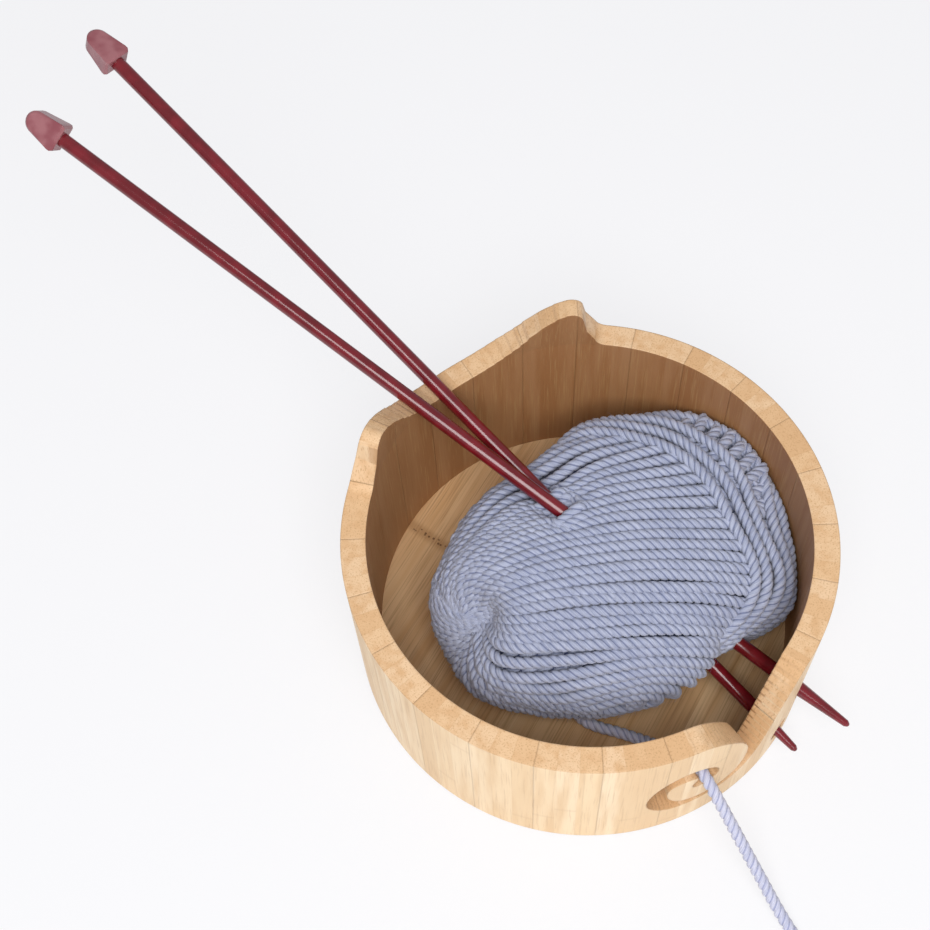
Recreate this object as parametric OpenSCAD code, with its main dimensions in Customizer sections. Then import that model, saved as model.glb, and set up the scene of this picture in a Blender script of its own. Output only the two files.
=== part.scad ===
// Cat-ear yarn bowl: a ring of glued bamboo staves with two ears, a saddle between
// them, a curled yarn slot in the front and two needle holes, on a let-in base board.
// A wound ball of yarn lies inside, with two knitting needles pushed through it.
// Origin: centre of the foot, on the table. +Z up, -Y is the slot side, +Y the ears.

/* [Bowl] */
// Outside diameter of the ring
bowl_d = 160; // [150:1:190]
// Thickness of the wall
wall_t = 8.2; // [7:0.1:9]
// Height of the plain rim
rim_h = 68.8; // [64:0.2:74]
// Number of glued staves
staves = 24;
// Turn of the first glue seam, degrees
seam_turn = 10.3; // [9:0.1:12]
// Bevel round the foot of the ring
foot_bevel = 1; // [0.4:0.1:1.6]

/* [Base board] */
// Thickness of the base board
base_t = 5; // [4:0.1:6]
// Depth of the rebate in the staves that takes the board
rebate = 2.4; // [1.6:0.1:3]
// Glue clearance round the board
glue_gap = 0.1; // [0.05:0.01:0.2]

/* [Ears] */
// Height of the saddle between the ears
saddle_h = 64.8; // [62:0.2:66]
// Distance along the rim from the saddle's middle to the foot of the ramp
ramp_u = 19; // [17:0.2:20]
// Distance along the rim to the knee of the ramp
knee_u = 36; // [35:0.2:37]
// Height of the ramp's knee
knee_h = 83; // [82:0.2:84]
// Distance along the rim to the ear's sharp tip, before rounding
tip_u = 48.4; // [47.6:0.1:49]
// Height of the ear's sharp tip, before rounding
tip_h = 90.6; // [89.6:0.2:91.6]
// Distance along the rim to the ear's outer foot
ear_u = 56.6; // [56:0.2:58]
// Blend radius from saddle to ramp
saddle_r = 34; // [20:1:36]
// Blend radius at the ramp's knee
knee_r = 31; // [15:1:34]
// Radius of the ear's tip
tip_r = 4.4; // [3:0.1:5]
// Blend radius at the ear's outer foot
ear_r = 4.8; // [2:0.1:5]
// Inward lean of the ears' outer face, millimetres for each millimetre of height
lean_out = 0.16; // [0:0.01:0.18]
// Inward lean of the ears' inner face
lean_in = 0.07; // [0:0.01:0.1]

/* [Slot] */
// Compass bearing of the slot's drawing line, degrees
slot_at = -90; // [-94:0.5:-90]
// Height that the whole slot is raised by
slot_lift = 0; // [-2:0.1:2]

/* [Needle holes] */
// Diameter of the two needle holes
hole_d = 9; // [8.6:0.1:10]

/* [Needles] */
// Diameter of a needle
needle_d = 5; // [4:0.1:5]
// Length of a needle, from tip to the end of its head
needle_l = 342; // [335:1:350]
// Length of the tapered tip
taper_l = 21; // [12:1:26]
// Diameter of the tip's end
tip_d = 1.8; // [1.2:0.1:2.4]
// Length of the head
head_l = 13.7; // [12:0.1:16]
// Width of the head at its flat end
head_w = 10; // [9:0.2:12]
// Width of the head at its round end
end_w = 7.9; // [7:0.1:8.8]
// Thickness of the head
head_t = 7.3; // [7:0.1:9]
// Clearance between a needle and the yarn round it
needle_gap = 0.4; // [0.3:0.05:0.6]

/* [Yarn] */
// Diameter of the yarn where it hangs free
yarn_d = 4.2; // [3.6:0.1:4.4]
// Diameter of the yarn where it is wound tight
strand_d = 3.8; // [3.4:0.1:3.9]

/* [Hidden] */

r_out = bowl_d / 2;
r_in = r_out - wall_t;
r_mid = (r_out + r_in) / 2;
base_top = base_t;
step = 360 / staves;
ears_at = 90;

// ---- outlines drawn on the unrolled outer face: u along the rim, z up -------------
function arc_pts(c, r, a0, a1, n) = [for (i = [0:n]) c + r * [cos(a0 + (a1 - a0) * i / n), sin(a0 + (a1 - a0) * i / n)]];
function short_way(a) = a > 180 ? a - 360 : a < -180 ? a + 360 : a;
// One corner [u, z, radius] between its two neighbours, rounded to n steps
function corner(a, p, b, n) =
    let (q = [p.x, p.y], r = p[2],
         va = ([a.x, a.y] - q) / norm([a.x, a.y] - q), vb = ([b.x, b.y] - q) / norm([b.x, b.y] - q),
         half = acos(va * vb) / 2, c = q + (va + vb) / norm(va + vb) * r / sin(half),
         s = q + va * r / tan(half) - c, e = q + vb * r / tan(half) - c,
         a0 = atan2(s.y, s.x), a1 = atan2(e.y, e.x))
    arc_pts(c, r, a0, a0 + short_way(a1 - a0), n);
function rounded(pts, n = 7) = [for (i = [0:len(pts) - 1])
    each (i == 0 || i == len(pts) - 1 || pts[i][2] == 0 ? [[pts[i].x, pts[i].y]] : corner(pts[i - 1], pts[i], pts[i + 1], n))];
// A smooth curve through every point of a list
function blend4(a, b, c, d, t) = 0.5 * (2 * b + (c - a) * t + (2 * a - 5 * b + 4 * c - d) * t * t + (3 * b - a - 3 * c + d) * t * t * t);
function smooth(p, n = 3) = [for (i = [0:len(p) - 2]) for (k = [0:n - 1])
    blend4(p[max(i - 1, 0)], p[i], p[i + 1], p[min(i + 2, len(p) - 1)], k / n), p[len(p) - 1]];

ear_half = [[0, saddle_h, 0], [ramp_u, saddle_h, saddle_r], [knee_u, knee_h, knee_r], [tip_u, tip_h, tip_r], [ear_u, rim_h, ear_r], [r_out * PI / 3, rim_h, 0]];
ear_top = rounded(ear_half);
ear_line = concat([for (i = [len(ear_top) - 1:-1:1]) [-ear_top[i].x, ear_top[i].y]], ear_top);
ear_room = 2;
blank_h = tip_h + ear_room;

// The slot's two edges, from the rim to the eye where they meet
slot_outer = [[32, 79], [26, 69.6], [20.2, 60], [16.2, 50], [13.4, 40], [10.6, 31], [7, 23.6], [2.4, 19.2],
              [-3.6, 17], [-11, 16.2], [-18, 16], [-23.9, 16.9], [-28.6, 19.6], [-31.8, 24], [-32.9, 29], [-32.4, 35],
              [-30.2, 41.2], [-26.6, 46.2], [-21.6, 49.2], [-16.6, 48.8], [-12, 45.4], [-9, 41], [-8.2, 37]];
slot_tongue = [[-8.8, 34.4], [-11.4, 32.2], [-15, 31], [-17.2, 32.4], [-17.4, 35.4], [-16, 38.8], [-17.2, 40.6], [-20.6, 41.4],
               [-24, 40.6], [-26, 37.6], [-26.2, 32.6], [-24.8, 27.6], [-21.6, 23], [-16.6, 20.4], [-10, 19.6],
               [-4.2, 21], [-0.4, 23.8], [2.2, 28.4], [3.2, 35], [2.8, 41.6], [0.6, 48.4], [-3.2, 55.6], [-7.6, 61.6],
               [-12, 66], [-16.4, 68.4], [-21, 69.6], [-27, 79]];
slot_line = [for (p = concat(smooth(slot_outer, 3), smooth(slot_tongue, 3))) [p.x, p.y + slot_lift]];
// A line along the middle of the slot, from the left to the rim
slot_middle = [[-60, 24], [-29, 23], [-24, 18.6], [-17, 18.2], [-8, 18.2], [-2, 18.9], [1.5, 21.4], [4.8, 26], [7, 33], [8, 42],
               [9, 52], [10, 90], [-60, 90]];

// Cuts the wall with an outline whose every point runs straight to the bowl's axis
module radial_cut(line, at) {
    near = r_in * 0.45;
    far = r_out * 1.14;
    rotate([90, 0, at + 90])
        translate([0, 0, near])
            linear_extrude(height = far - near, scale = [far / near, 1], slices = 1)
                polygon([for (p = line) [near * tan(p.x / r_out * 180 / PI), p.y]]);
}
module ear_cut() radial_cut(concat(ear_line, [[r_out * PI / 3, blank_h + 9], [-r_out * PI / 3, blank_h + 9]]), ears_at);
module slot_cut() radial_cut(slot_line, slot_at);
module above_slot() radial_cut([for (p = slot_middle) [p.x, p.y + slot_lift]], slot_at);

// ---- needles: a line through a hole in the wall ----------------------------------
// [hole's compass bearing, hole's height, needle's bearing, needle's fall]
line_a = [-63.6, 25.5, -69.5, 17.8];
line_b = [-73.0, 15.3, -78.5, 19.9];
tip_a = 24.6;
tip_b = 13.4;
function hole_point(l) = [r_mid * cos(l[0]), r_mid * sin(l[0]), l[1]];
function needle_dir(l) = [cos(l[3]) * cos(l[2]), cos(l[3]) * sin(l[2]), -sin(l[3])];
// Turns a shape drawn along +Z, tip up, onto a needle's line, z = 0 at the hole
module on_line(l) translate(hole_point(l)) rotate([0, 90 + l[3], l[2]]) children();

module needle_holes() for (l = [line_a, line_b])
    rotate([0, 0, l[0]]) translate([r_in - 5, 0, l[1]]) rotate([0, 90, 0]) cylinder(d = hole_d, h = wall_t + 10, $fn = 48);

// ---- staves ------------------------------------------------------------------------
// A stave that rises past the rim leans in from there
module stave_blank(k, h) let (up = h > rim_h ? [[r_out, rim_h], [r_out - lean_out * (h - rim_h), h], [r_in - lean_in * (h - rim_h), h], [r_in, rim_h]] : [[r_out, h], [r_in, h]])
    rotate([0, 0, seam_turn + step * (k - 1)]) rotate_extrude(angle = step, $fn = 180)
        polygon(concat([[r_out - foot_bevel, 0], [r_out, foot_bevel]], up, [[r_in, base_top], [r_in + rebate, base_top], [r_in + rebate, 0]]));
module stave(k) {
    a0 = seam_turn + step * (k - 1);
    ear_reach = (ear_u + 4) / r_out * 180 / PI;
    eared = abs(a0 + step / 2 - ears_at) < ear_reach + step / 2;
    mid = a0 + step / 2 - 360;
    slotted = abs(mid - slot_at + 3) < 22 + step / 2;
    holed = abs(mid - line_a[0]) < step / 2 + 5 || abs(mid - line_b[0]) < step / 2 + 5;
    tone = [0.03, -0.02, 0.01, -0.035, 0.02, 0][k % 6];
    color([0.86 + tone, 0.72 + tone, 0.51 + tone])
        difference() {
            stave_blank(k, eared ? blank_h : rim_h);
            if (eared) ear_cut();
            if (slotted) slot_cut();
            if (holed) needle_holes();
        }
}
// The slot cuts two staves in two: the curl's side above it and the foot below it
module stave_upper(k) color([0.87, 0.73, 0.52]) intersection() { stave(k); above_slot(); }
module stave_lower(k) color([0.84, 0.7, 0.49]) difference() { stave(k); above_slot(); }

module base_disc() color([0.78, 0.6, 0.38])
    cylinder(r = r_in + rebate - glue_gap, h = base_t, $fn = 180);

// ---- needle pieces -----------------------------------------------------------------
module shaft(l, tip) color([0.45, 0.07, 0.1]) on_line(l) {
    translate([0, 0, tip - needle_l + head_l]) cylinder(d = needle_d, h = needle_l - head_l - taper_l, $fn = 32);
    translate([0, 0, tip - taper_l]) rotate_extrude($fn = 32)
        polygon([[0, 0], [needle_d / 2, 0], [tip_d / 2 + 0.35, taper_l - 1.2], [tip_d / 2 - 0.15, taper_l - 0.25], [tip_d / 2 - 0.5, taper_l], [0, taper_l]]);
}
// A squared bell: flat and widest where the shaft enters, drawn in to a round end
module head(l, tip, turned) color([0.5, 0.1, 0.14]) on_line(l) translate([0, 0, tip - needle_l]) rotate([0, 0, turned])
    hull() {
        translate([0, 0, head_l - 0.3]) linear_extrude(0.3) square([head_t - 1.2, head_w - 1.2], center = true);
        translate([0, 0, head_l - 2]) linear_extrude(1.1) square([head_t, head_w], center = true);
        translate([0, 0, end_w / 2]) rotate([0, 90, 0]) cylinder(d = end_w, h = head_t - 2.6, center = true, $fn = 24);
        translate([0, 0, end_w / 2]) rotate([0, 90, 0]) cylinder(d = end_w - 1.4, h = head_t - 1.2, center = true, $fn = 24);
    }

// ---- yarn --------------------------------------------------------------------------
ball_c = [7, -6, 34.7];
ball_r = [58, 46.4, 25.7];
ball_turn = -6;
main_at = 57;
band_at = 2;
loop_rings = 24;
main_loops = 18.5;
band_loops = 4.5;
main_reach = 75;
lift = strand_d + 0.9;
rise_rings = 5;
lead_rings = 6;
band_out = 62;
band_in = 37;
band_start = -60;

function spin(v, a) = [v.x * cos(a) - v.y * sin(a), v.x * sin(a) + v.y * cos(a), v.z];
function unit(v) = v / norm(v);
function ball_scale(u, p) = let (v = spin(u, -ball_turn)) spin([v.x * pow(ball_r.x, p), v.y * pow(ball_r.y, p), v.z * pow(ball_r.z, p)], ball_turn);
function on_ball(u, up) = ball_c + ball_scale(u, 1) + unit(ball_scale(u, -1)) * up;
function main_dir(tau, th) = let (phi = tau - 6 * sin(2 * tau))
    cos(phi) * [cos(th) * sin(main_at), -cos(th) * cos(main_at), sin(th)] + sin(phi) * [cos(main_at), sin(main_at), 0];
function band_dir(al, th) = cos(al) * [cos(band_at), sin(band_at), 0] + sin(al) * [-cos(th) * sin(band_at), cos(th) * cos(band_at), sin(th)];
main_n = round(main_loops * loop_rings);
band_n = round(band_loops * loop_rings);
last_dir = main_dir(main_reach, 360 * main_n / loop_rings);
first_band = band_dir(band_out, band_start);
wound = concat(
    [for (i = [0:main_n]) on_ball(main_dir(-main_reach + 2 * main_reach * i / main_n, 360 * i / loop_rings), lift * max(0, i - main_n + rise_rings) / rise_rings)],
    [for (j = [1:lead_rings]) on_ball(unit(last_dir * (1 - j / lead_rings) + first_band * j / lead_rings), lift)],
    [for (i = [1:band_n]) on_ball(band_dir(band_out + (band_in - band_out) * i / band_n, band_start - 360 * i / loop_rings), lift)]);
// Free end: out of the ball's underside, over the base board, up through the eye and
// down to the table
tail_d = yarn_d;
tail_floor = base_top + tail_d / 2 + 0.25;
tail_points = [[-24, -22, 24], [-24.8, -25.2, 18], [-25.6, -28.4, 12], [-25.8, -32.4, 8.2], [-23.2, -37.6, tail_floor], [-18.6, -43.6, tail_floor],
               [-13.6, -52, 9.4], [-11.6, -60, 17], [-11.5, -65.6, 27.4], [-12, -71, 35], [-12.6, -76.6, 36.4], [-13, -82, 34.4],
               [-13.2, -90, 28.6], [-13.4, -100, 21], [-13.6, -110, 13.6], [-13.8, -119, 7], [-14, -127, 3], [-14.2, -134, tail_d / 2 + 0.05],
               [-14.6, -146, tail_d / 2 + 0.05], [-15.4, -158, tail_d / 2 + 0.05], [-17, -170, tail_d / 2 + 0.05]];

// The strands part round what goes into the ball: every point moves straight away from
// its line, given as [point, direction, diameter, how far they part, how far that reaches]
way_a = [hole_point(line_a), needle_dir(line_a), needle_d, 3.4, 22];
way_b = [hole_point(line_b), needle_dir(line_b), needle_d, 3.4, 22];
way_tail = [tail_points[0], unit(tail_points[2] - tail_points[0])];
slit_by = 3;
slit_reach = 18;
function off_way(p, w) = let (v = p - w[0]) v - (v * w[1]) * w[1];
function parted(p, w) = let (v = off_way(p, w), r = norm(v)) r < w[4] ? p + v / r * w[3] * (1 - r / w[4]) : p;
// Round the free end two neighbouring strands move apart along the winding's axis
function slit(p) = let (v = off_way(p, way_tail), r = norm(v), m = [cos(main_at), sin(main_at), 0], n = unit(m - (m * way_tail[1]) * way_tail[1]))
    p.z < ball_c.z && r < slit_reach ? p + n * sign(v * n) * slit_by * (1 - r / slit_reach) : p;
// Where the needles go in they lie too close for a strand between them, so it goes over
entry = [0.5, 24, 54];
over_by = 8;
over_reach = 13;
function over(p) = let (r = norm(p - entry)) r < over_reach ? p + over_by * (1 - r / over_reach) * [-0.4, -0.25, 0.88] : p;
// A straight piece from p to q that comes too near a line moves straight away from it
function within1(x) = max(0, min(1, x));
function shove(p, q, w) = let (a = off_way(p, w), u = off_way(q, w) - a, v = a + within1(-(a * u) / max(u * u, 0.001)) * u,
    r = norm(v), least = (w[2] + strand_d) / 2 + needle_gap) r < least ? v / r * (least - r) : [0, 0, 0];
function eased(l, w) = [for (i = [0:len(l) - 1]) let (a = i > 0 ? shove(l[i - 1], l[i], w) : [0, 0, 0],
    b = i < len(l) - 1 ? shove(l[i], l[i + 1], w) : [0, 0, 0]) l[i] + (norm(a) > norm(b) ? a : b)];
function both(l) = eased(eased(l, way_a), way_b);
strand = both(both(both(both([for (p = wound) over(slit(parted(parted(p, way_a), way_b)))]))));

// Least distance between two straight pieces, p to p + u and q to q + v
function piece_gap(p, u, q, v) = let (w = p - q, a = u * u, b = u * v, c = v * v, d = u * w, e = v * w, det = a * c - b * b,
    s = det > 0.001 ? within1((b * e - c * d) / det) : 0, t = within1((b * s + e) / c), s2 = within1((b * t - d) / a)) norm(w + s2 * u - t * v);
function self_gap(p, d, skip) = min([for (i = [0:len(p) - 2]) for (j = [i + skip:1:len(p) - 2])
    if (norm(p[i] - p[j]) < 30) piece_gap(p[i], p[i + 1] - p[i], p[j], p[j + 1] - p[j])]) - d;

// Sweeps a tube of n sides and radius r along points, square to them, ends closed
function tangent(p, i) = unit(p[min(i + 1, len(p) - 1)] - p[max(i - 1, 0)]);
function side_way(p, i, ref) = let (t = tangent(p, i), s = ref - (ref * t) * t) unit(s);
function carry(p, ref) = [for (i = 0, s = side_way(p, 0, ref); i < len(p); i = i + 1, s = side_way(p, min(i, len(p) - 1), s)) s];
module tube(p, r, n, ref) {
    side = carry(p, ref);
    m = len(p);
    pts = [for (i = [0:m - 1]) let (t = tangent(p, i), a = side[i], b = cross(t, a)) for (k = [0:n - 1]) p[i] + r * (cos(360 * k / n) * a + sin(360 * k / n) * b)];
    faces = concat([for (i = [0:m - 2]) for (k = [0:n - 1]) each
                [[i * n + k, i * n + (k + 1) % n, (i + 1) * n + k], [i * n + (k + 1) % n, (i + 1) * n + (k + 1) % n, (i + 1) * n + k]]],
        [for (k = [1:n - 2]) [0, k + 1, k]], [for (k = [1:n - 2]) [(m - 1) * n, (m - 1) * n + k, (m - 1) * n + k + 1]]);
    polyhedron(points = pts, faces = [for (f = faces) [f[0], f[2], f[1]]], convexity = 10);
}
module yarn_winding() {
    echo(str("yarn_winding: least gap to itself ", self_gap(strand, strand_d, 6), " mm over ", len(strand), " rings"));
    color([0.62, 0.66, 0.79]) tube(strand, strand_d / 2, 6, [0, 1, 0.2]);
}

// Where a needle's line meets the ball, as distances from its hole
function meets(l) = let (s = function (v) let (q = spin(v, -ball_turn)) [q.x / ball_r.x, q.y / ball_r.y, q.z / ball_r.z],
    d = s(needle_dir(l)), q = s(hole_point(l) - ball_c), a = d * d, b = d * q, c = q * q - 1, k = sqrt(b * b - a * c)) [(-b - k) / a, (-b + k) / a];
core_in = strand_d / 2 + 1.8;
relief_r = 12;
module yarn_core() color([0.56, 0.6, 0.74]) difference() {
    translate(ball_c) rotate([0, 0, ball_turn]) scale(ball_r - [core_in, core_in, core_in]) sphere(r = 1, $fn = 36);
    for (l = [line_a, line_b]) on_line(l) let (m = meets(l)) {
        translate([0, 0, m[0] - 40]) cylinder(r = needle_d / 2 + needle_gap, h = m[1] - m[0] + 80, $fn = 24);
        translate([0, 0, m[0] - 40]) cylinder(r = relief_r, h = 54, $fn = 24);
        translate([0, 0, m[1] - 7]) cylinder(r = relief_r, h = 40, $fn = 24);
    }
}

module yarn_tail() color([0.76, 0.79, 0.91]) tube(smooth(tail_points, 2), tail_d / 2, 8, [0, 0, 1]);

base_disc();
yarn_core();
yarn_winding();
yarn_tail();
shaft(line_a, tip_a);  // needle_a_shaft
head(line_a, tip_a, 40);  // needle_a_head
shaft(line_b, tip_b);  // needle_b_shaft
head(line_b, tip_b, -8);  // needle_b_head
stave(1);  // stave_01
stave(2);  // stave_02
stave(3);  // stave_03
stave(4);  // stave_04
stave(5);  // stave_05
stave(6);  // stave_06
stave(7);  // stave_07
stave(8);  // stave_08
stave(9);  // stave_09
stave(10);  // stave_10
stave(11);  // stave_11
stave(12);  // stave_12
stave(13);  // stave_13
stave(14);  // stave_14
stave(15);  // stave_15
stave(16);  // stave_16
stave_upper(17);  // stave_17_upper
stave_lower(17);  // stave_17_lower
stave_upper(18);  // stave_18_upper
stave_lower(18);  // stave_18_lower
stave(19);  // stave_19
stave(20);  // stave_20
stave(21);  // stave_21
stave(22);  // stave_22
stave(23);  // stave_23
stave(24);  // stave_24
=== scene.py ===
"""A bamboo cat-ear yarn bowl with a ball of wool and two knitting needles.

The bowl, its base board and the needles keep the solids of the frame and are
dressed here. The ball of wool and its free end are built here as plied strands.
"""
from __future__ import annotations

import logging
import math
from dataclasses import dataclass, field
from enum import Enum
from typing import Any, Callable, Sequence

import bpy
import numpy as np
from mathutils import Matrix, Vector, noise

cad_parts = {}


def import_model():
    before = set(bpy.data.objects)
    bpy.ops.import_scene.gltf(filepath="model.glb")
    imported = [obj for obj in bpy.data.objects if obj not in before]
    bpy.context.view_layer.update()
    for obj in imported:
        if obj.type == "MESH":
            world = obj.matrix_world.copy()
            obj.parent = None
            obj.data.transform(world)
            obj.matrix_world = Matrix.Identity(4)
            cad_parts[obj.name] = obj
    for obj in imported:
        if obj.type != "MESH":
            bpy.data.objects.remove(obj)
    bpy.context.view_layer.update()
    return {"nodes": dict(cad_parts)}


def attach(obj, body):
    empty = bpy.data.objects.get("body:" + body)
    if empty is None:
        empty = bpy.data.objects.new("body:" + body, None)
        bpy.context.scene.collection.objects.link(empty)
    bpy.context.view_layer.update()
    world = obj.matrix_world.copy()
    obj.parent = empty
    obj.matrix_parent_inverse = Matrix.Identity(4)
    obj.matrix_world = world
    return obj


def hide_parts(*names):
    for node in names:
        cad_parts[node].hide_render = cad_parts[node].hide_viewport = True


MM = 0.001
LOG = logging.getLogger("yarn_bowl")


# ---------------------------------------------------------------- small helpers
def linear(code: str) -> tuple[float, float, float, float]:
    """Turns an sRGB hex colour into linear RGBA.

    Args:
        code: The colour as #RRGGBB.

    Returns:
        Red, green, blue and alpha as a shader socket takes them.
    """
    parts = [int(code[i:i + 2], 16) / 255 for i in (1, 3, 5)]
    r, g, b = (c / 12.92 if c <= 0.04045 else ((c + 0.055) / 1.055) ** 2.4 for c in parts)
    return (r, g, b, 1.0)


def add(tree: bpy.types.NodeTree, kind: str, inputs: dict[Any, Any] | None = None, **settings: Any) -> Any:
    """Adds a node, with its settings, values and incoming links.

    Args:
        tree: The node tree that gets the node.
        kind: The node's type name.
        inputs: Socket name or number to a value, or to the socket that feeds it.
        **settings: Properties of the node itself.

    Returns:
        The new node.
    """
    node = tree.nodes.new(kind)
    for name, value in settings.items():
        setattr(node, name, value)
    for key, value in (inputs or {}).items():
        socket = node.inputs[key]
        if isinstance(value, bpy.types.NodeSocket):
            tree.links.new(value, socket)
        else:
            socket.default_value = value
    return node


def math_node(tree: bpy.types.NodeTree, operation: str, *values: Any) -> Any:
    """Returns the result socket of one sum on numbers or sockets."""
    return add(tree, "ShaderNodeMath", dict(enumerate(values)), operation=operation).outputs[0]


def ramp(tree: bpy.types.NodeTree, factor: Any, stops: Sequence[tuple[float, str]]) -> Any:
    """Adds a colour ramp.

    Args:
        tree: The material's node tree.
        factor: The socket that drives the ramp.
        stops: Position and sRGB hex colour of each stop.

    Returns:
        The ramp's colour socket.
    """
    node = add(tree, "ShaderNodeValToRGB", {0: factor})
    marks = node.color_ramp.elements
    while len(marks) < len(stops):
        marks.new(1.0)
    for mark, (place, code) in zip(marks, stops):
        mark.position = place
        mark.color = linear(code)
    return node.outputs[0]


def fade(tree: bpy.types.NodeTree, value: Any, low: float, high: float) -> Any:
    """Returns a socket that rises smoothly from 0 at low to 1 at high."""
    node = add(tree, "ShaderNodeMapRange", {0: value, 1: low, 2: high, 3: 0.0, 4: 1.0}, interpolation_type="SMOOTHSTEP")
    return node.outputs[0]


def mixed(tree: bpy.types.NodeTree, factor: Any, a: Any, b: Any, blend: str = "MIX") -> Any:
    """Returns the colour socket of two colours mixed."""
    node = add(tree, "ShaderNodeMix", {0: factor}, data_type="RGBA", blend_type=blend)
    for place, value in ((6, a), (7, b)):
        if isinstance(value, bpy.types.NodeSocket):
            tree.links.new(value, node.inputs[place])
        else:
            node.inputs[place].default_value = value
    return node.outputs[2]


def new_material(name: str) -> tuple[bpy.types.Material, bpy.types.NodeTree, Any]:
    """Makes an empty material with its principled shader.

    Args:
        name: The finish's name.

    Returns:
        The material, its node tree and the shader node.
    """
    material = bpy.data.materials.new(name)
    material.use_nodes = True
    tree = material.node_tree
    shader = next(n for n in tree.nodes if n.type == "BSDF_PRINCIPLED")
    return material, tree, shader


def turned(v: Sequence[float], degrees: float) -> np.ndarray:
    """Returns a vector, or rows of them, turned about +Z by some degrees."""
    a = math.radians(degrees)
    c, s = math.cos(a), math.sin(a)
    v = np.asarray(v, float)
    return np.stack([v[..., 0] * c - v[..., 1] * s, v[..., 0] * s + v[..., 1] * c, v[..., 2]], -1)


def bearing(degrees: float, height: float = 0.0) -> np.ndarray:
    """Returns the unit direction at a compass bearing, lifted by a height."""
    a = math.radians(degrees)
    v = np.array([math.cos(a), math.sin(a), height])
    return v / np.linalg.norm(v)


def smooth_line(points: Sequence[Sequence[float]], steps: int) -> np.ndarray:
    """Runs a Catmull-Rom curve through points.

    Args:
        points: The points of the route.
        steps: Pieces between two neighbours.

    Returns:
        The points of the smooth line.
    """
    p = [np.asarray(q, float) for q in points]
    out = []
    for i in range(len(p) - 1):
        a, b, c, d = p[max(i - 1, 0)], p[i], p[i + 1], p[min(i + 2, len(p) - 1)]
        for k in range(steps):
            t = k / steps
            out.append(0.5 * (2 * b + (c - a) * t + (2 * a - 5 * b + 4 * c - d) * t * t + (3 * b - a - 3 * c + d) * t ** 3))
    out.append(p[-1])
    return np.array(out)


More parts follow.
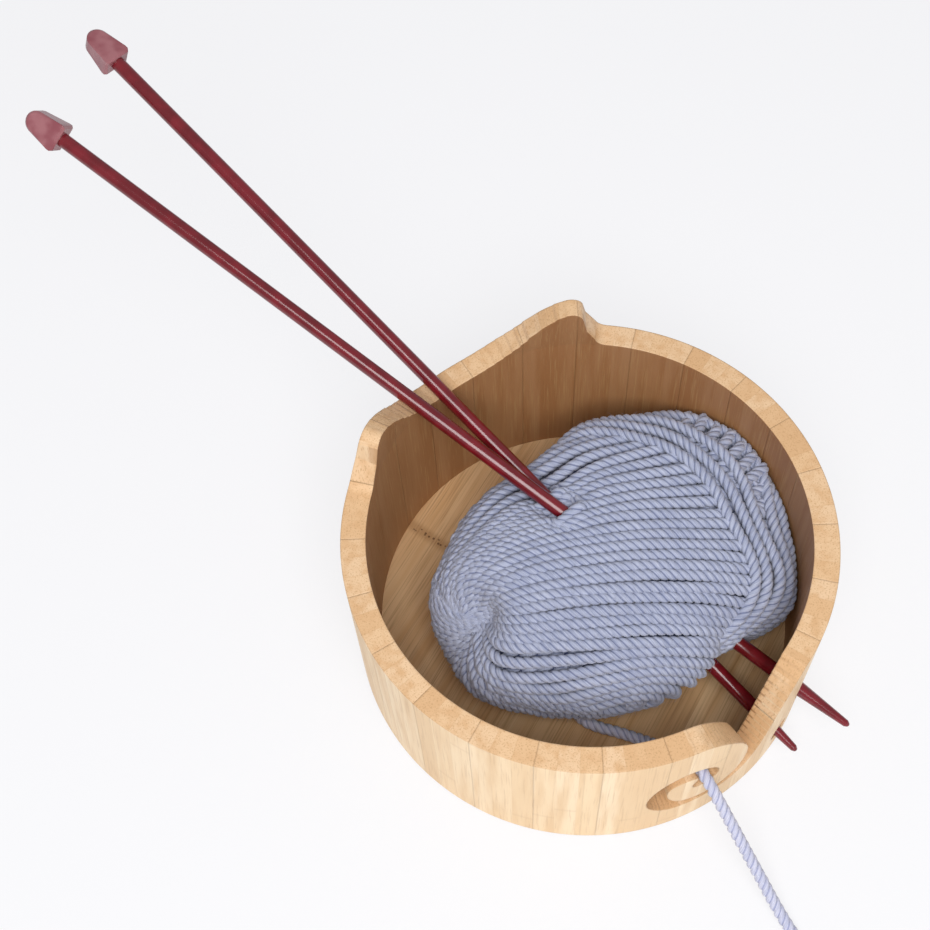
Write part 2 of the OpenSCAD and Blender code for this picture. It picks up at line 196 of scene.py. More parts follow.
# ---------------------------------------------------------------- finishes
@dataclass(frozen=True)
class Bamboo:
    """Carbonised, sanded and oiled bamboo: warm straw with fine brown fibre bundles.

    The bundles run up the wall as hair lines and end on the rim as speckles,
    so one solid pattern makes both. The ring is glued from narrow strips; its inner wall is darkened as painted shade.
    """

    name: str = "bamboo_ring"
    pale: str = "#F4DCB8"
    middle: str = "#EFD2A8"
    warm: str = "#E3C194"
    fibre: str = "#B98F60"
    end_tint: str = "#EFDDD0"
    inner_shade_tint: str = "#B8977E"
    strip_degrees: float = 5.0
    seam_at: float = 0.3
    fibre_mm: float = 0.55
    roughness: float = 0.5

    def build(self) -> bpy.types.Material:
        """Makes the material on Object coordinates."""
        material, t, shader = new_material(self.name)
        coords = add(t, "ShaderNodeTexCoord")
        place = add(t, "ShaderNodeSeparateXYZ", {0: coords.outputs["Object"]})
        x, y, z = place.outputs
        angle = math_node(t, "ARCTAN2", y, x)
        radius = math_node(t, "SQRT", math_node(t, "ADD", math_node(t, "MULTIPLY", x, x), math_node(t, "MULTIPLY", y, y)))
        turns = math_node(t, "DIVIDE", math_node(t, "SUBTRACT", math_node(t, "MULTIPLY", angle, 57.29578), self.seam_at), self.strip_degrees)
        strip = math_node(t, "FLOOR", turns)
        chance = add(t, "ShaderNodeTexWhiteNoise", {"W": strip}, noise_dimensions="1D").outputs["Value"]
        tone = ramp(t, chance, ((0.0, self.warm), (0.3, self.middle), (0.7, self.pale), (1.0, self.middle)))
        # seams: a hair line of glue between strips
        across = math_node(t, "FRACT", turns)
        edge = math_node(t, "MINIMUM", across, math_node(t, "SUBTRACT", 1.0, across))
        seam = fade(t, edge, 0.0, 0.045)
        # fibre bundles, 0.55 mm across and many times as long
        per = 1.0 / (self.fibre_mm * MM)
        arc = math_node(t, "MULTIPLY", angle, 0.08)
        shift = math_node(t, "MULTIPLY", chance, 0.37)
        grain_at = add(t, "ShaderNodeCombineXYZ", {
            0: math_node(t, "MULTIPLY", arc, per), 1: math_node(t, "MULTIPLY", radius, per),
            2: math_node(t, "ADD", math_node(t, "MULTIPLY", z, 55.0), shift)})
        fibres = add(t, "ShaderNodeTexNoise", {"Vector": grain_at.outputs[0], "Scale": 1.0, "Detail": 2.0, "Roughness": 0.6}).outputs[0]
        broad_at = add(t, "ShaderNodeCombineXYZ", {
            0: math_node(t, "MULTIPLY", arc, 260.0), 1: math_node(t, "MULTIPLY", radius, 260.0),
            2: math_node(t, "ADD", math_node(t, "MULTIPLY", z, 22.0), math_node(t, "MULTIPLY", chance, 9.0))})
        broad = add(t, "ShaderNodeTexNoise", {"Vector": broad_at.outputs[0], "Scale": 1.0, "Detail": 3.0}).outputs[0]
        up = add(t, "ShaderNodeSeparateXYZ", {0: coords.outputs["Normal"]}).outputs[2]
        end = fade(t, math_node(t, "ABSOLUTE", up), 0.05, 0.3)
        body = mixed(t, fade(t, broad, 0.35, 0.75), tone, linear(self.warm))
        body = mixed(t, math_node(t, "MULTIPLY", end, 0.75), body, mixed(t, 1.0, body, linear(self.end_tint), "MULTIPLY"))
        # painted shade: the inner wall, away from the rim's top, is multiplied by a darker brown tint for the shade
        # inside the bowl
        inside = math_node(t, "MULTIPLY", math_node(t, "SUBTRACT", 1.0, fade(t, radius, 0.0732, 0.0744)), math_node(t, "SUBTRACT", 1.0, end))
        body = mixed(t, inside, body, mixed(t, 1.0, body, linear(self.inner_shade_tint), "MULTIPLY"))
        depth = math_node(t, "ADD", 0.30, math_node(t, "ADD", math_node(t, "MULTIPLY", inside, 0.4), math_node(t, "MULTIPLY", end, 0.38)))
        streak = math_node(t, "MULTIPLY", fade(t, fibres, 0.5, 0.72), depth)
        body = mixed(t, streak, body, linear(self.fibre))
        # growth joint of each strip: a faint darker line at its own height
        joint_at = math_node(t, "MULTIPLY", add(t, "ShaderNodeTexWhiteNoise", {"W": math_node(t, "ADD", strip, 41.5)}, noise_dimensions="1D").outputs["Value"], 0.11)
        off = math_node(t, "ABSOLUTE", math_node(t, "SUBTRACT", z, joint_at))
        joint = math_node(t, "MULTIPLY", math_node(t, "SUBTRACT", 1.0, fade(t, off, 0.0002, 0.0016)), 0.14)
        body = mixed(t, math_node(t, "MULTIPLY", joint, math_node(t, "SUBTRACT", 1.0, math_node(t, "MAXIMUM", end, inside))), body, linear(self.fibre))
        line = math_node(t, "MULTIPLY", math_node(t, "SUBTRACT", 1.0, seam), math_node(t, "ADD", 0.08, math_node(t, "MULTIPLY", end, 0.06)))
        body = mixed(t, line, body, linear(self.fibre))
        t.links.new(body, shader.inputs["Base Color"])
        shader.inputs["Roughness"].default_value = self.roughness
        soft_edge = add(t, "ShaderNodeBevel", {"Radius": 0.0008}, samples=6)
        bump = add(t, "ShaderNodeBump", {"Strength": 0.16, "Distance": 0.0003, "Height": fibres, "Normal": soft_edge.outputs[0]})
        t.links.new(bump.outputs[0], shader.inputs["Normal"])
        return material


@dataclass(frozen=True)
class BambooBoard:
    """Flat-laid bamboo board, sanded: long hair-fine grain and a growth joint with dark pores."""

    name: str = "bamboo_board"
    pale: str = "#E3C194"
    middle: str = "#D8B183"
    warm: str = "#C89B69"
    fibre: str = "#9A6F43"
    grain_bearing: float = 24.0
    strip_mm: float = 17.0
    roughness: float = 0.42

    def build(self) -> bpy.types.Material:
        """Makes the material, its grain along one bearing."""
        material, t, shader = new_material(self.name)
        coords = add(t, "ShaderNodeTexCoord")
        turn = add(t, "ShaderNodeMapping", {"Vector": coords.outputs["Object"], "Rotation": (0, 0, -math.radians(self.grain_bearing))})
        place = add(t, "ShaderNodeSeparateXYZ", {0: turn.outputs[0]})
        x, y, z = place.outputs
        lane = math_node(t, "DIVIDE", y, self.strip_mm * MM)
        strip = math_node(t, "FLOOR", lane)
        chance = add(t, "ShaderNodeTexWhiteNoise", {"W": strip}, noise_dimensions="1D").outputs["Value"]
        tone = ramp(t, chance, ((0.0, self.middle), (0.5, self.pale), (1.0, self.middle)))
        fine_at = add(t, "ShaderNodeCombineXYZ", {0: math_node(t, "MULTIPLY", x, 34.0), 1: math_node(t, "MULTIPLY", y, 1900.0), 2: chance})
        fine = add(t, "ShaderNodeTexNoise", {"Vector": fine_at.outputs[0], "Scale": 1.0, "Detail": 2.0}).outputs[0]
        broad_at = add(t, "ShaderNodeCombineXYZ", {0: math_node(t, "MULTIPLY", x, 14.0), 1: math_node(t, "MULTIPLY", y, 240.0), 2: chance})
        broad = add(t, "ShaderNodeTexNoise", {"Vector": broad_at.outputs[0], "Scale": 1.0, "Detail": 2.0}).outputs[0]
        body = mixed(t, fade(t, broad, 0.35, 0.8), tone, linear(self.warm))
        body = mixed(t, math_node(t, "MULTIPLY", fade(t, fine, 0.45, 0.75), 0.55), body, linear(self.fibre))
        # the growth joint crosses one strip near the back of the board, with pores
        jx, jy = turned((-27.0, 57.0, 0.0), -self.grain_bearing)[:2] * MM
        du = math_node(t, "ABSOLUTE", math_node(t, "SUBTRACT", x, math_node(t, "ADD", jx, math_node(t, "MULTIPLY", math_node(t, "SUBTRACT", y, jy), 0.12))))
        dv = math_node(t, "ABSOLUTE", math_node(t, "SUBTRACT", y, jy))
        band = math_node(t, "MULTIPLY", math_node(t, "SUBTRACT", 1.0, fade(t, du, 0.0005, 0.0035)), math_node(t, "SUBTRACT", 1.0, fade(t, dv, 0.009, 0.013)))
        body = mixed(t, math_node(t, "MULTIPLY", band, 0.45), body, linear(self.fibre))
        pores = add(t, "ShaderNodeTexVoronoi", {"Vector": turn.outputs[0], "Scale": 620.0}, feature="F1").outputs[0]
        dots = math_node(t, "MULTIPLY", math_node(t, "SUBTRACT", 1.0, fade(t, pores, 0.22, 0.36)), math_node(t, "MULTIPLY", math_node(t, "SUBTRACT", 1.0, fade(t, du, 0.0008, 0.0016)), math_node(t, "SUBTRACT", 1.0, fade(t, dv, 0.009, 0.012))))
        body = mixed(t, math_node(t, "MULTIPLY", dots, 0.8), body, linear("#5A3B22"))
        t.links.new(body, shader.inputs["Base Color"])
        shader.inputs["Roughness"].default_value = self.roughness
        bump = add(t, "ShaderNodeBump", {"Strength": 0.12, "Distance": 0.0003, "Height": fine})
        t.links.new(bump.outputs[0], shader.inputs["Normal"])
        return material


@dataclass(frozen=True)
class WoolFinish:
    """Worsted-spun acrylic wool, plied: matt periwinkle, with painted shade between its plies and a soft halo."""

    name: str
    high: str = "#C5CADD"
    low: str = "#9098B4"
    shade: str = "#5C6486"

    def build(self) -> bpy.types.Material:
        """Makes the material on the strand's own attributes along and around."""
        material, t, shader = new_material(self.name)
        along = add(t, "ShaderNodeAttribute", attribute_name="along").outputs["Fac"]
        ring = add(t, "ShaderNodeAttribute", attribute_name="ring").outputs["Vector"]
        ply = add(t, "ShaderNodeAttribute", attribute_name="ply").outputs["Fac"]
        part = add(t, "ShaderNodeSeparateXYZ", {0: ring})
        at = add(t, "ShaderNodeCombineXYZ", {0: math_node(t, "MULTIPLY", part.outputs[0], 7.0), 1: math_node(t, "MULTIPLY", part.outputs[1], 7.0), 2: math_node(t, "MULTIPLY", along, 260.0)})
        fibre = add(t, "ShaderNodeTexNoise", {"Vector": at.outputs[0], "Scale": 1.0, "Detail": 3.0, "Roughness": 0.6}).outputs[0]
        coords = add(t, "ShaderNodeTexCoord")
        patch = add(t, "ShaderNodeTexNoise", {"Vector": coords.outputs["Object"], "Scale": 90.0, "Detail": 1.0}).outputs[0]
        body = mixed(t, fade(t, fibre, 0.3, 0.72), linear(self.low), linear(self.high))
        body = mixed(t, math_node(t, "MULTIPLY", fade(t, patch, 0.35, 0.7), 0.25), body, linear(self.high))
        # painted shade: the valleys between the plies are mixed towards the shade colour
        body = mixed(t, math_node(t, "MULTIPLY", fade(t, ply, 0.45, 1.0), 0.8), body, linear(self.shade))
        t.links.new(body, shader.inputs["Base Color"])
        shader.inputs["Roughness"].default_value = 0.92
        shader.inputs["Specular IOR Level"].default_value = 0.2
        shader.inputs["Sheen Weight"].default_value = 0.35
        shader.inputs["Sheen Roughness"].default_value = 0.5
        bump = add(t, "ShaderNodeBump", {"Strength": 0.5, "Distance": 0.0004, "Height": fibre})
        t.links.new(bump.outputs[0], shader.inputs["Normal"])
        return material


@dataclass(frozen=True)
class GlossPlastic:
    """Injection-moulded ABS in burgundy: smooth and glossy, with a faint flow mottle."""

    name: str
    deep: str = "#660C17"
    light: str = "#781420"
    roughness: float = 0.17

    def build(self) -> bpy.types.Material:
        """Makes the material."""
        material, t, shader = new_material(self.name)
        coords = add(t, "ShaderNodeTexCoord")
        mottle = add(t, "ShaderNodeTexNoise", {"Vector": coords.outputs["Object"], "Scale": 160.0, "Detail": 2.0}).outputs[0]
        t.links.new(mixed(t, fade(t, mottle, 0.35, 0.7), linear(self.deep), linear(self.light)), shader.inputs["Base Color"])
        shader.inputs["Roughness"].default_value = self.roughness
        shader.inputs["IOR"].default_value = 1.54
        shader.inputs["Coat Weight"].default_value = 0.25
        shader.inputs["Coat Roughness"].default_value = 0.12
        fine = add(t, "ShaderNodeTexNoise", {"Vector": coords.outputs["Object"], "Scale": 900.0, "Detail": 1.0}).outputs[0]
        bump = add(t, "ShaderNodeBump", {"Strength": 0.006, "Distance": 0.0002, "Height": fine, "Normal": add(t, "ShaderNodeBevel", {"Radius": 0.0005}, samples=4).outputs[0]})
        t.links.new(bump.outputs[0], shader.inputs["Normal"])
        return material


# ---------------------------------------------------------------- strands of wool
@dataclass
class StrandTool:
    """Turns a route into a three-ply strand with a Geometry Nodes tree."""

    pitch: float = 8.4 * MM
    sides: int = 12

    def __post_init__(self) -> None:
        """Builds the tree once."""
        self.tree = self._tree()

    def _tree(self) -> bpy.types.NodeTree:
        """Makes the node tree: resample, twist, sweep a three-lobed outline."""
        t = bpy.data.node_groups.new("plied_strand", "GeometryNodeTree")
        face = t.interface
        face.new_socket("Route", in_out="INPUT", socket_type="NodeSocketGeometry")
        face.new_socket("Radius", in_out="INPUT", socket_type="NodeSocketFloat")
        face.new_socket("Pitch", in_out="INPUT", socket_type="NodeSocketFloat")
        face.new_socket("Ring step", in_out="INPUT", socket_type="NodeSocketFloat")
        face.new_socket("Finish", in_out="INPUT", socket_type="NodeSocketMaterial")
        face.new_socket("Strand", in_out="OUTPUT", socket_type="NodeSocketGeometry")
        given = add(t, "NodeGroupInput")
        route, radius, pitch, ring_step, finish = given.outputs[:5]
        even = add(t, "GeometryNodeResampleCurve", {"Curve": route, "Length": ring_step}, mode="LENGTH")
        run = add(t, "GeometryNodeSplineParameter").outputs["Length"]
        turn = math_node(t, "MULTIPLY", math_node(t, "DIVIDE", run, pitch), 2 * math.pi)
        tilted = add(t, "GeometryNodeSetCurveTilt", {"Curve": even.outputs[0], "Tilt": turn})
        marked = add(t, "GeometryNodeStoreNamedAttribute", {"Geometry": tilted.outputs[0], "Name": "along", "Value": run}, data_type="FLOAT", domain="POINT")
        circle = add(t, "GeometryNodeCurvePrimitiveCircle", {"Resolution": self.sides, "Radius": 1.0}, mode="RADIUS")
        spot = add(t, "GeometryNodeInputPosition").outputs[0]
        split = add(t, "ShaderNodeSeparateXYZ", {0: spot})
        around = math_node(t, "ARCTAN2", split.outputs[1], split.outputs[0])
        valley = math_node(t, "POWER", math_node(t, "MULTIPLY", math_node(t, "SUBTRACT", 1.0, math_node(t, "COSINE", math_node(t, "MULTIPLY", around, 3.0))), 0.5), 2.2)
        ringed = add(t, "GeometryNodeStoreNamedAttribute", {"Geometry": circle.outputs[0], "Name": "ring", "Value": spot}, data_type="FLOAT_VECTOR", domain="POINT")
        plied = add(t, "GeometryNodeStoreNamedAttribute", {"Geometry": ringed.outputs[0], "Name": "ply", "Value": valley}, data_type="FLOAT", domain="POINT")
        size = math_node(t, "MULTIPLY", radius, math_node(t, "SUBTRACT", 1.0, math_node(t, "MULTIPLY", valley, 0.27)))
        scaled = add(t, "ShaderNodeVectorMath", {0: spot, "Scale": size}, operation="SCALE").outputs[0]
        outline = add(t, "GeometryNodeSetPosition", {"Geometry": plied.outputs[0], "Position": scaled})
        swept = add(t, "GeometryNodeCurveToMesh", {"Curve": marked.outputs[0], "Profile Curve": outline.outputs[0], "Fill Caps": True})
        rounded = add(t, "GeometryNodeSetShadeSmooth", {"Geometry": swept.outputs[0]})
        real = add(t, "GeometryNodeRealizeInstances", {0: rounded.outputs[0]})
        dressed = add(t, "GeometryNodeSetMaterial", {"Geometry": real.outputs[0], "Material": finish})
        out = add(t, "NodeGroupOutput")
        t.links.new(dressed.outputs[0], out.inputs[0])
        return t

    def make(self, name: str, routes: Sequence[np.ndarray], radius: float, finish: bpy.types.Material) -> bpy.types.Object:
        """Sweeps strands along routes and returns one plain mesh object.

        Args:
            name: The piece's name.
            routes: Lists of points in metres, one list for each strand.
            radius: The strand's radius in metres.
            finish: The wool's material.

        Returns:
            The mesh object, at the origin.
        """
        curve = bpy.data.curves.new(name + "_route", "CURVE")
        curve.dimensions = "3D"
        for route in routes:
            spline = curve.splines.new("POLY")
            spline.points.add(len(route) - 1)
            spline.points.foreach_set("co", np.column_stack([route, np.ones(len(route))]).ravel())
        holder = bpy.data.objects.new(name + "_route", curve)
        bpy.context.scene.collection.objects.link(holder)
        modifier = holder.modifiers.new("plied", "NODES")
        modifier.node_group = self.tree
        values = {"Radius": radius, "Pitch": self.pitch, "Ring step": self.pitch / self.sides, "Finish": finish}
        for item in self.tree.interface.items_tree:
            if item.in_out == "INPUT" and item.name in values:
                modifier[item.identifier] = values[item.name]
        view = bpy.context.evaluated_depsgraph_get()
        mesh = bpy.data.meshes.new_from_object(holder.evaluated_get(view), preserve_all_data_layers=True, depsgraph=view)
        mesh.name = name
        piece = bpy.data.objects.new(name, mesh)
        bpy.context.scene.collection.objects.link(piece)
        bpy.data.objects.remove(holder)
        return piece


# ---------------------------------------------------------------- the ball
@dataclass
class Swell:
    """A hollow or a bulge on the ball, towards one direction."""

    towards: np.ndarray
    width: float
    amount: float


@dataclass
class WoolBall:
    """The ball: a fan of strands from the dimple, and a belt of strands round one end."""

    centre: tuple[float, float, float] = (8.0, -6.0, 31.0)
    plan: tuple[float, ...] = (72.0, 72.0, 61.0, 54.8, 49.8, 53.5, 57.4, 65.8, 62.9, 52.8, 46.7, 43.7, 45.7, 47.6, 60.6, 62.4)
    rise: float = 27.1
    sink: float = 26.0
    power: float = 2.25
    strand: float = 4.2
    wall_limit: float = 69.3
    floor: float = 7.2
    fan_loops: int = 32
    fan_bearing: float = -34.0
    fan_axes: tuple[float, float, float] = (54.0, 46.0, 27.0)
    fan_from: float = -21.0
    fan_lift: float = 12.0
    fan_reach: float = 100.0
    belt_axis: tuple[float, float] = (178.0, 1.80)
    needles: Sequence[tuple[np.ndarray, np.ndarray]] = ()
    swells: list[Swell] = field(default_factory=list)

    def _reach(self, u: np.ndarray) -> np.ndarray:
        """Returns how far the surface lies from the centre along unit directions."""
        r = np.array(self.plan)
        n = len(r)
        t = (np.degrees(np.arctan2(u[..., 1], u[..., 0])) % 360) / 360 * n
        k = np.floor(t).astype(int)
        f = t - k
        a, b, c, d = r[(k - 1) % n], r[k % n], r[(k + 1) % n], r[(k + 2) % n]
        side = 0.5 * (2 * b + (c - a) * f + (2 * a - 5 * b + 4 * c - d) * f * f + (3 * b - a - 3 * c + d) * f ** 3)
        flat, up = np.hypot(u[..., 0], u[..., 1]), u[..., 2]
        tall = np.where(up > 0, self.rise, self.sink)
        reach = ((flat / side) ** self.power + (np.abs(up) / tall) ** self.power) ** (-1 / self.power)
        for s in self.swells:
            ang = np.arccos(np.clip(u @ s.towards, -1, 1))
            reach = reach * (1 + s.amount * np.exp(-(ang / s.width) ** 2))
        return reach

    def lay(self, u: np.ndarray, level: np.ndarray | float) -> np.ndarray:
        """Puts strand points on the ball.

        Args:
            u: Directions from the ball's centre.
            level: Height above the ball's surface in millimetres.

        Returns:
            The points in millimetres, inside the bowl and clear of the needles.
        """
        u = u / np.linalg.norm(u, axis=-1, keepdims=True)
        p = np.array(self.centre) + u * (self._reach(u) + level)[..., None]
        for _ in range(2):
            for point, way in self.needles:
                v = p - point
                v = v - (v @ way)[..., None] * way
                r = np.linalg.norm(v, axis=-1, keepdims=True)
                least = 2.5 + self.strand / 2 + 0.15
                far = (r ** 4 + least ** 4) ** 0.25
                p = p + v / np.maximum(r, 1e-6) * (far - r)
            r = np.hypot(p[..., 0], p[..., 1])
            k = np.minimum(1.0, self.wall_limit / np.maximum(r, 1e-6))
            p[..., 0] *= k
            p[..., 1] *= k
            p[..., 2] = np.maximum(p[..., 2], self.floor)
        return p

    def _past_belt(self, u: np.ndarray, start: float, end: float) -> np.ndarray:
        """Returns 0 on the belt's inner side, rising to 1 between two angles from its axis."""
        u = u / np.linalg.norm(u, axis=-1, keepdims=True)
        ang = np.degrees(np.arccos(np.clip(u @ bearing(*self.belt_axis), -1, 1)))
        t = np.clip((ang - start) / (end - start), 0, 1)
        return t * t * (3 - 2 * t)

    def fan(self) -> np.ndarray:
        """Returns the route that leaves the dimple in a fan, loop after loop."""
        around = 110
        n = self.fan_loops * around
        i = np.arange(n + 1)
        th = 2 * np.pi * i / around
        long, wide, tall = self.fan_axes
        table = np.radians(np.linspace(-86, 86, 400))
        run = np.concatenate([[0], np.cumsum(np.hypot(wide * np.cos(table), tall * np.sin(table))[1:])])
        lane = np.interp(i / n, run / run[-1], table)
        start = math.radians(self.fan_lift - 90)
        from_left = np.degrees(np.arccos(np.clip(np.cos(th - start), -1, 1)))
        g = np.clip(from_left / self.fan_reach, 0, 1)
        outer = np.clip((np.abs(np.degrees(lane)) - 40) / 46, 0, 1)
        g = 0.08 + 0.92 * (1 - (1 - g) ** (2.4 + 34 * outer ** 2))
        psi = math.radians(self.fan_from) * (1 - g) + lane * g
        e, m = bearing(self.fan_bearing), bearing(self.fan_bearing + 90)
        u = ((long * np.cos(psi) * np.sin(th))[:, None] * e + (wide * np.sin(psi))[:, None] * m
             + (tall * np.cos(psi) * np.cos(th))[:, None] * np.array([0, 0, 1.0]))
        return self._loose(self.lay(u, -3.4 * self._past_belt(u, 87, 93)), 0)

    def belt(self, start: float, end: float, loops: int, level: float, at: float, key: int,
             about: tuple[float, float] | None = None, over: tuple[float, float, float, float] = (0.0, 0.0, 62.0, 30.0)) -> np.ndarray:
        """Returns a route that winds about an axis from one polar angle to another.

        It lies on the ball near one direction and dives under the other strands elsewhere.

        Args:
            start: First polar angle in degrees.
            end: Last polar angle in degrees.
            loops: Number of loops.
            level: Height above the ball's surface in millimetres.
            at: Where on the loop the route starts, in degrees.
            key: Number that makes its small waves its own.
            about: Bearing and height of the axis, the belt's own axis when None.
            over: Bearing and height of the direction where it shows, the angle to which
                it shows and the angle over which it dives, in degrees.

        Returns:
            The route's points in millimetres.
        """
        axis = bearing(*(about or self.belt_axis))
        side = np.cross(axis, [0, 0, 1.0])
        side /= np.linalg.norm(side)
        up = np.cross(side, axis)
        n = loops * 96
        i = np.arange(n + 1)
        al = np.radians(start + (end - start) * i / n)
        th = np.radians(at) + 2 * np.pi * i / 96
        u = np.cos(al)[:, None] * axis + np.sin(al)[:, None] * (np.cos(th)[:, None] * side + np.sin(th)[:, None] * up)
        away = np.degrees(np.arccos(np.clip(u @ bearing(over[0], over[1]), -1, 1)))
        t = np.clip((away - over[2]) / over[3], 0, 1)
        return self._loose(self.lay(u, level - (level + 5.0) * t * t * (3 - 2 * t)), key)

    def _loose(self, p: np.ndarray, key: int) -> np.ndarray:
        """Gives a route the small waves of hand-laid wool."""
        out = np.empty_like(p)
        for j, q in enumerate(p):
            w = noise.noise_vector(Vector((q[0] * 0.045 + key * 7.1, q[1] * 0.045 + j * 0.013, q[2] * 0.045)))
            out[j] = q + np.array(w) * 0.75
        return out


class BodyName(Enum):
    """The three bodies that move on their own."""

    BOWL = "bowl"
    NEEDLE_A = "needle_a"
    NEEDLE_B = "needle_b"


@dataclass
class Strands:
    """The wound wool: a heart of wool, dark with painted shade, and the strands over it."""

    tool: StrandTool
    ball: WoolBall
    radius: float = 2.1 * MM

    def fuzz(self, name: str, routes: list[np.ndarray], count: int, finish: bpy.types.Material) -> bpy.types.Object:
        """Makes the loose fibre ends that stand off the wool, as hair-thin blades.

        Args:
            name: The piece's name.
            routes: Strand centre lines in millimetres.
            count: Number of fibres.
            finish: The wool's material.

        Returns:
            The new piece.
        """
        rng = np.random.default_rng(7)
        line = np.concatenate(routes)
        middle = np.array(self.ball.centre)
        line = line[line[:, 2] > 12]
        root = line[rng.integers(0, len(line), count)]
        out = root - middle
        out /= np.linalg.norm(out, axis=1, keepdims=True)
        drift = rng.normal(size=(count, 3))
        drift -= (drift * out).sum(1)[:, None] * out
        drift /= np.linalg.norm(drift, axis=1, keepdims=True)
        wide = np.cross(out, drift)
        length = rng.uniform(1.2, 3.0, count)[:, None]
        rise = rng.uniform(0.15, 0.75, count)[:, None]
        root = root + out * self.ball.strand * 0.46
        verts, half = [], 0.035
        for t, w in ((0.0, 1.0), (0.4, 0.9), (0.75, 0.7)):
            mid = root + drift * length * t + out * length * rise * (t - 0.55 * t * t)
            verts += [mid - wide * half * w, mid + wide * half * w]
        verts.append(root + drift * length + out * length * rise * 0.45)
        points = np.stack(verts, axis=1).reshape(-1, 3)
        r = np.hypot(points[:, 0], points[:, 1])
        points[:, :2] *= np.minimum(1.0, 71.0 / np.maximum(r, 1e-6))[:, None]
        faces = [tuple(7 * i + k for k in f) for i in range(count) for f in ((0, 1, 3, 2), (2, 3, 5, 4), (4, 5, 6))]
        mesh = bpy.data.meshes.new(name)
        mesh.from_pydata([tuple(p) for p in points * MM], [], faces)
        mesh.materials.append(finish)
        obj = bpy.data.objects.new(name, mesh)
        bpy.context.scene.collection.objects.link(obj)
        return obj

    def heart(self, finish: bpy.types.Material) -> bpy.types.Object:
        """Builds the body of wool under the outer strands.

        Args:
            finish: The heart's darker wool material, painted shade between the strands.

        Returns:
            One closed mesh.
        """
        rows, around = 48, 96
        v = np.linspace(0, np.pi, rows + 1)[1:-1]
        a = np.linspace(0, 2 * np.pi, around, endpoint=False)
        grid = np.stack([np.outer(np.sin(v), np.cos(a)), np.outer(np.sin(v), np.sin(a)), np.outer(np.cos(v), np.ones(around))], -1)
        ends = np.array([[0, 0, 1.0], [0, 0, -1.0]])
        u = np.concatenate([grid.reshape(-1, 3), ends])
        p = self.ball.lay(u, -4.2) * MM
        faces: list[tuple[int, ...]] = []
        for r in range(rows - 2):
            for k in range(around):
                n = (k + 1) % around
                faces.append((r * around + k, (r + 1) * around + k, (r + 1) * around + n, r * around + n))
        top, low = len(p) - 2, len(p) - 1
        last = (rows - 2) * around
        for k in range(around):
            n = (k + 1) % around
            faces.append((top, k, n))
            faces.append((low, last + n, last + k))
        mesh = bpy.data.meshes.new("yarn_heart")
        mesh.from_pydata(p.tolist(), [], faces)
        mesh.update()
        mesh.materials.append(finish)
        for face in mesh.polygons:
            face.use_smooth = True
        piece = bpy.data.objects.new("yarn_heart", mesh)
        bpy.context.scene.collection.objects.link(piece)
        return piece

    def wound(self, name: str, route: np.ndarray, pieces: int, finish: bpy.types.Material) -> list[bpy.types.Object]:
        """Sweeps one long route, cut into pieces that stay light enough.

        Args:
            name: The pieces' name, numbered from one.
            route: The route in millimetres.
            pieces: How many pieces to cut it into.
            finish: The wool's material.

        Returns:
            The mesh objects.
        """
        marks = np.linspace(0, len(route) - 1, pieces + 1).astype(int)
        return [self.tool.make(f"{name}_{k + 1}", [route[a:b + 1] * MM], self.radius, finish)
                for k, (a, b) in enumerate(zip(marks[:-1], marks[1:]))]


@dataclass
class Stage:
    """The plain pale floor, the camera and the soft light."""

    eye: tuple[float, float, float] = (-147.187, -163.897, 512.899)
    right: tuple[float, float, float] = (0.81145, -0.58334, -0.03564)
    up: tuple[float, float, float] = (0.52552, 0.70162, 0.48121)
    look: tuple[float, float, float] = (0.25570, 0.40921, -0.87588)
    lens: float = 59.44
    sensor: float = 36.0

    def camera(self) -> None:
        """Places the camera where the photograph was taken from."""
        data = bpy.data.cameras.new("camera")
        data.lens, data.sensor_width = self.lens, self.sensor
        data.clip_start, data.clip_end = 0.01, 20.0
        cam = bpy.data.objects.new("camera", data)
        back = [-c for c in self.look]
        cam.matrix_world = Matrix([[self.right[i], self.up[i], back[i], self.eye[i] * MM] for i in range(3)] + [[0, 0, 0, 1]])
        bpy.context.scene.collection.objects.link(cam)
        bpy.context.scene.camera = cam

    def floor(self) -> None:
        """Lays the floor: a sweep of matt white paper."""
        mesh = bpy.data.meshes.new("floor")
        half = 4.0
        mesh.from_pydata([(-half, -half, 0), (half, -half, 0), (half, half, 0), (-half, half, 0)], [], [(0, 1, 2, 3)])
        obj = bpy.data.objects.new("floor", mesh)
        bpy.context.scene.collection.objects.link(obj)
        material, t, shader = new_material("matt_white_paper")
        shader.inputs["Base Color"].default_value = linear("#F4F4F6")
        shader.inputs["Roughness"].default_value = 0.9
        shader.inputs["Specular IOR Level"].default_value = 0.1
        seen = add(t, "ShaderNodeEmission", {"Color": linear("#F9F9FB"), "Strength": 1.0})
        mix = add(t, "ShaderNodeMixShader", {0: math_node(t, "MULTIPLY", add(t, "ShaderNodeLightPath").outputs["Is Camera Ray"], 0.75), 1: shader.outputs[0], 2: seen.outputs[0]})
        t.links.new(mix.outputs[0], t.nodes["Material Output"].inputs["Surface"])
        mesh.materials.append(material)

    def lights(self) -> None:
        """Lights the scene with a pale sky and one large soft lamp."""
        world = bpy.data.worlds.new("studio")
        bpy.context.scene.world = world
        world.use_nodes = True
        back = world.node_tree.nodes["Background"]
        back.inputs[0].default_value = linear("#F8F8FC")
        back.inputs[1].default_value = 0.46
        for name, place, size, watts in (("key", (-0.35, -0.5, 0.95), 0.7, 10.5),):
            lamp = bpy.data.lights.new(name, "AREA")
            lamp.shape, lamp.size, lamp.energy = "SQUARE", size, watts
            obj = bpy.data.objects.new(name, lamp)
            aim = Vector((0, 0, 0.03)) - Vector(place)
            obj.matrix_world = Matrix.Translation(place) @ aim.to_track_quat("-Z", "Y").to_matrix().to_4x4()
            bpy.context.scene.collection.objects.link(obj)


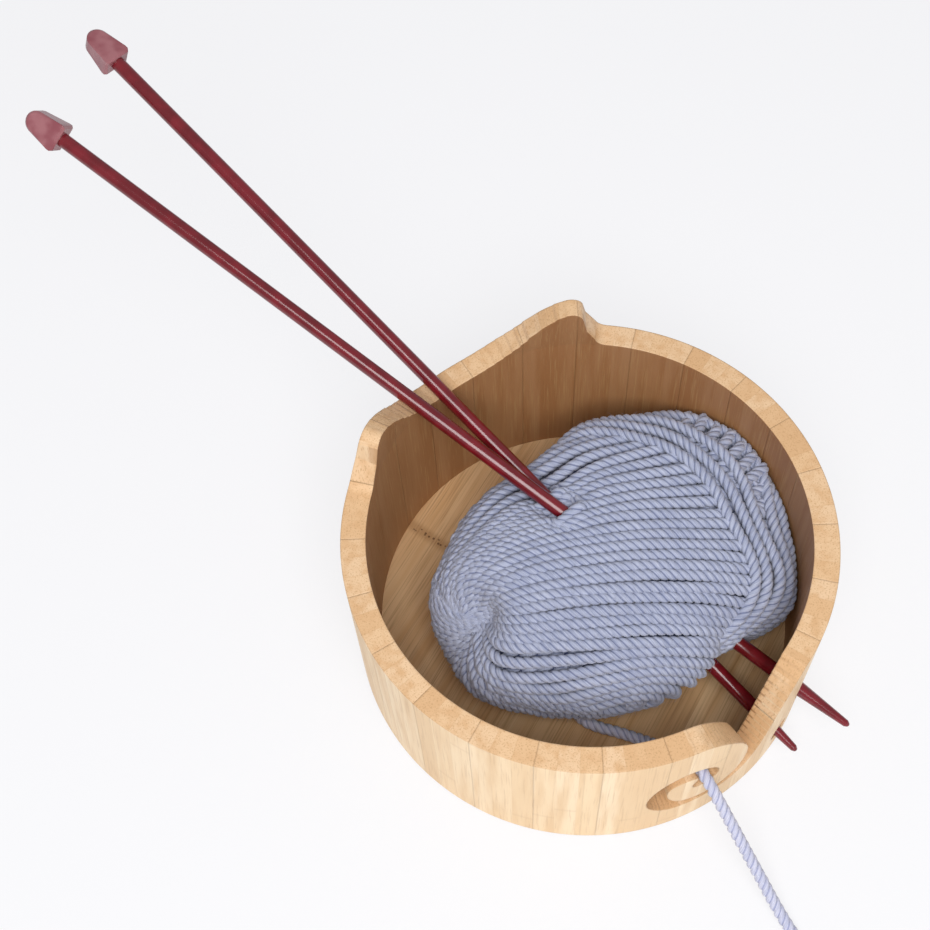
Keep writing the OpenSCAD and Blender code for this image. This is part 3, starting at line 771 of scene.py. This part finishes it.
@dataclass
class FreeYarn:
    """The free end: out of the ball, through the slot's eye and down to the table."""

    diameter: float = 4.2
    route: Sequence[tuple[float, float, float]] = (
        (-24, -22, 24), (-24.8, -25.2, 18), (-25.6, -28.4, 12), (-25.8, -32.4, 8.2), (-23.2, -37.6, 7.35), (-18.6, -43.6, 7.35),
        (-13.6, -52, 9.4), (-11.6, -60, 17), (-11.5, -65.6, 27.4), (-12, -71, 35), (-12.6, -76.6, 36.4), (-13, -82, 34.4),
        (-13.2, -90, 28.6), (-13.4, -100, 21), (-13.6, -110, 13.6), (-13.8, -119, 7), (-14, -127, 3), (-14.2, -134, 2.15),
        (-14.6, -146, 2.15), (-15.4, -158, 2.15), (-17, -170, 2.15))

    def build(self, tool: StrandTool, finish: bpy.types.Material) -> bpy.types.Object:
        line = smooth_line(self.route, 8) * MM
        piece = tool.make("yarn_free", [line], self.diameter / 2 * MM, finish)
        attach(piece, BodyName.BOWL.value)
        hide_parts("yarn_tail")
        return piece


@dataclass
class Bowl:
    """The glued ring of strips with its ears and slot, and its base board."""

    strips: str = "stave_"
    board: str = "base_disc"

    def dress(self, nodes: dict[str, bpy.types.Object]) -> None:
        """Gives every strip of the ring and the board its bamboo."""
        ring = Bamboo().build()
        board = BambooBoard().build()
        for name, obj in nodes.items():
            if name.startswith(self.strips):
                paint(obj, ring)
            elif name == self.board:
                paint(obj, board)


@dataclass
class Needles:
    """Two single-pointed needles: a straight shaft and a bell-shaped head each."""

    def dress(self, nodes: dict[str, bpy.types.Object]) -> None:
        """Gives shafts and heads their plastic."""
        shaft = GlossPlastic("gloss_plastic_shaft").build()
        head = GlossPlastic("gloss_plastic_head", "#8A4850", "#A0666B", 0.24).build()
        for name, obj in nodes.items():
            if name.startswith("needle_"):
                paint(obj, head if name.endswith("head") else shaft)


def paint(obj: bpy.types.Object, material: bpy.types.Material) -> None:
    """Puts one material in every slot of an object."""
    if not obj.material_slots:
        obj.data.materials.append(material)
    for slot in obj.material_slots:
        slot.material = material


def needle_line(hole: float, height: float, way: float, fall: float) -> tuple[np.ndarray, np.ndarray]:
    """Returns a needle's line: a point on it in millimetres and its direction."""
    b, s, h = math.radians(way), math.radians(fall), math.radians(hole)
    mid = 75.9
    return (np.array([mid * math.cos(h), mid * math.sin(h), height]),
            np.array([math.cos(s) * math.cos(b), math.cos(s) * math.sin(b), -math.sin(s)]))


def wool_ball(lines: Sequence[tuple[np.ndarray, np.ndarray]]) -> WoolBall:
    """Returns the ball with its dimple, its bulge and its dips at the needles."""
    return WoolBall(needles=lines, swells=[
        Swell(bearing(166.0, 0.2), 0.24, -0.27),
        Swell(bearing(6.0, 0.3), 0.24, 0.04),
        Swell(bearing(100.0, 0.9), 0.32, -0.08),
        Swell(bearing(-68.0, -0.05), 0.30, -0.10),
    ])


def main() -> None:
    """Builds the pieces in order and reports them."""
    logging.basicConfig(level=logging.INFO, format="%(message)s")
    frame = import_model()
    bpy.context.scene.view_settings.view_transform = "Standard"
    stage = Stage()
    stage.camera()
    tool = StrandTool()
    # painted light: the free end's wool is a lighter copy of the ball's wool, for the light that falls on it out on the
    # table
    free = FreeYarn().build(tool, WoolFinish("acrylic_wool_free_painted_light", "#DDDDED", "#B6BAD4", "#888DB0").build())
    LOG.info("%s: %d faces", free.name, len(free.data.polygons))
    stage.floor()
    stage.lights()
    Bowl().dress(frame["nodes"])
    Needles().dress(frame["nodes"])
    lines = (needle_line(-63.6, 25.5, -69.5, 17.8), needle_line(-73.0, 15.3, -78.5, 19.9))
    ball = wool_ball(lines)
    wool = WoolFinish("acrylic_wool").build()
    # painted shade: a dark copy of the wool for the heart that shows between the strands
    deep = WoolFinish("acrylic_wool_heart_painted_shade", "#5C6486", "#474E6E", "#333950").build()
    strands = Strands(tool, ball)
    heart = strands.heart(deep)
    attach(heart, BodyName.BOWL.value)
    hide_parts("yarn_core")
    groups = strands.wound("yarn_fan", ball.fan(), 2, wool)
    groups += strands.wound("yarn_belt", ball.belt(84.5, 97.5, 3, 2.2, -60, 1), 1, wool)
    groups += strands.wound("yarn_side", ball.belt(101.5, 140, 9, 0.4, 40, 2), 1, wool)
    lobe = ball.belt(68, 110, 9, 1.6, 0, 4, (98.0, 0.25), (9.0, -0.02, 19.0, 13.0))
    groups += strands.wound("yarn_back_lobe", lobe, 1, wool)
    groups.append(strands.fuzz("yarn_fuzz", [ball.fan(), ball.belt(84.5, 97.5, 3, 2.2, -60, 1), lobe], 7000, wool))
    for piece in groups:
        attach(piece, BodyName.BOWL.value)
        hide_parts("yarn_winding")
        LOG.info("%s: %d faces", piece.name, len(piece.data.polygons))


if __name__ == "__main__":
    main()
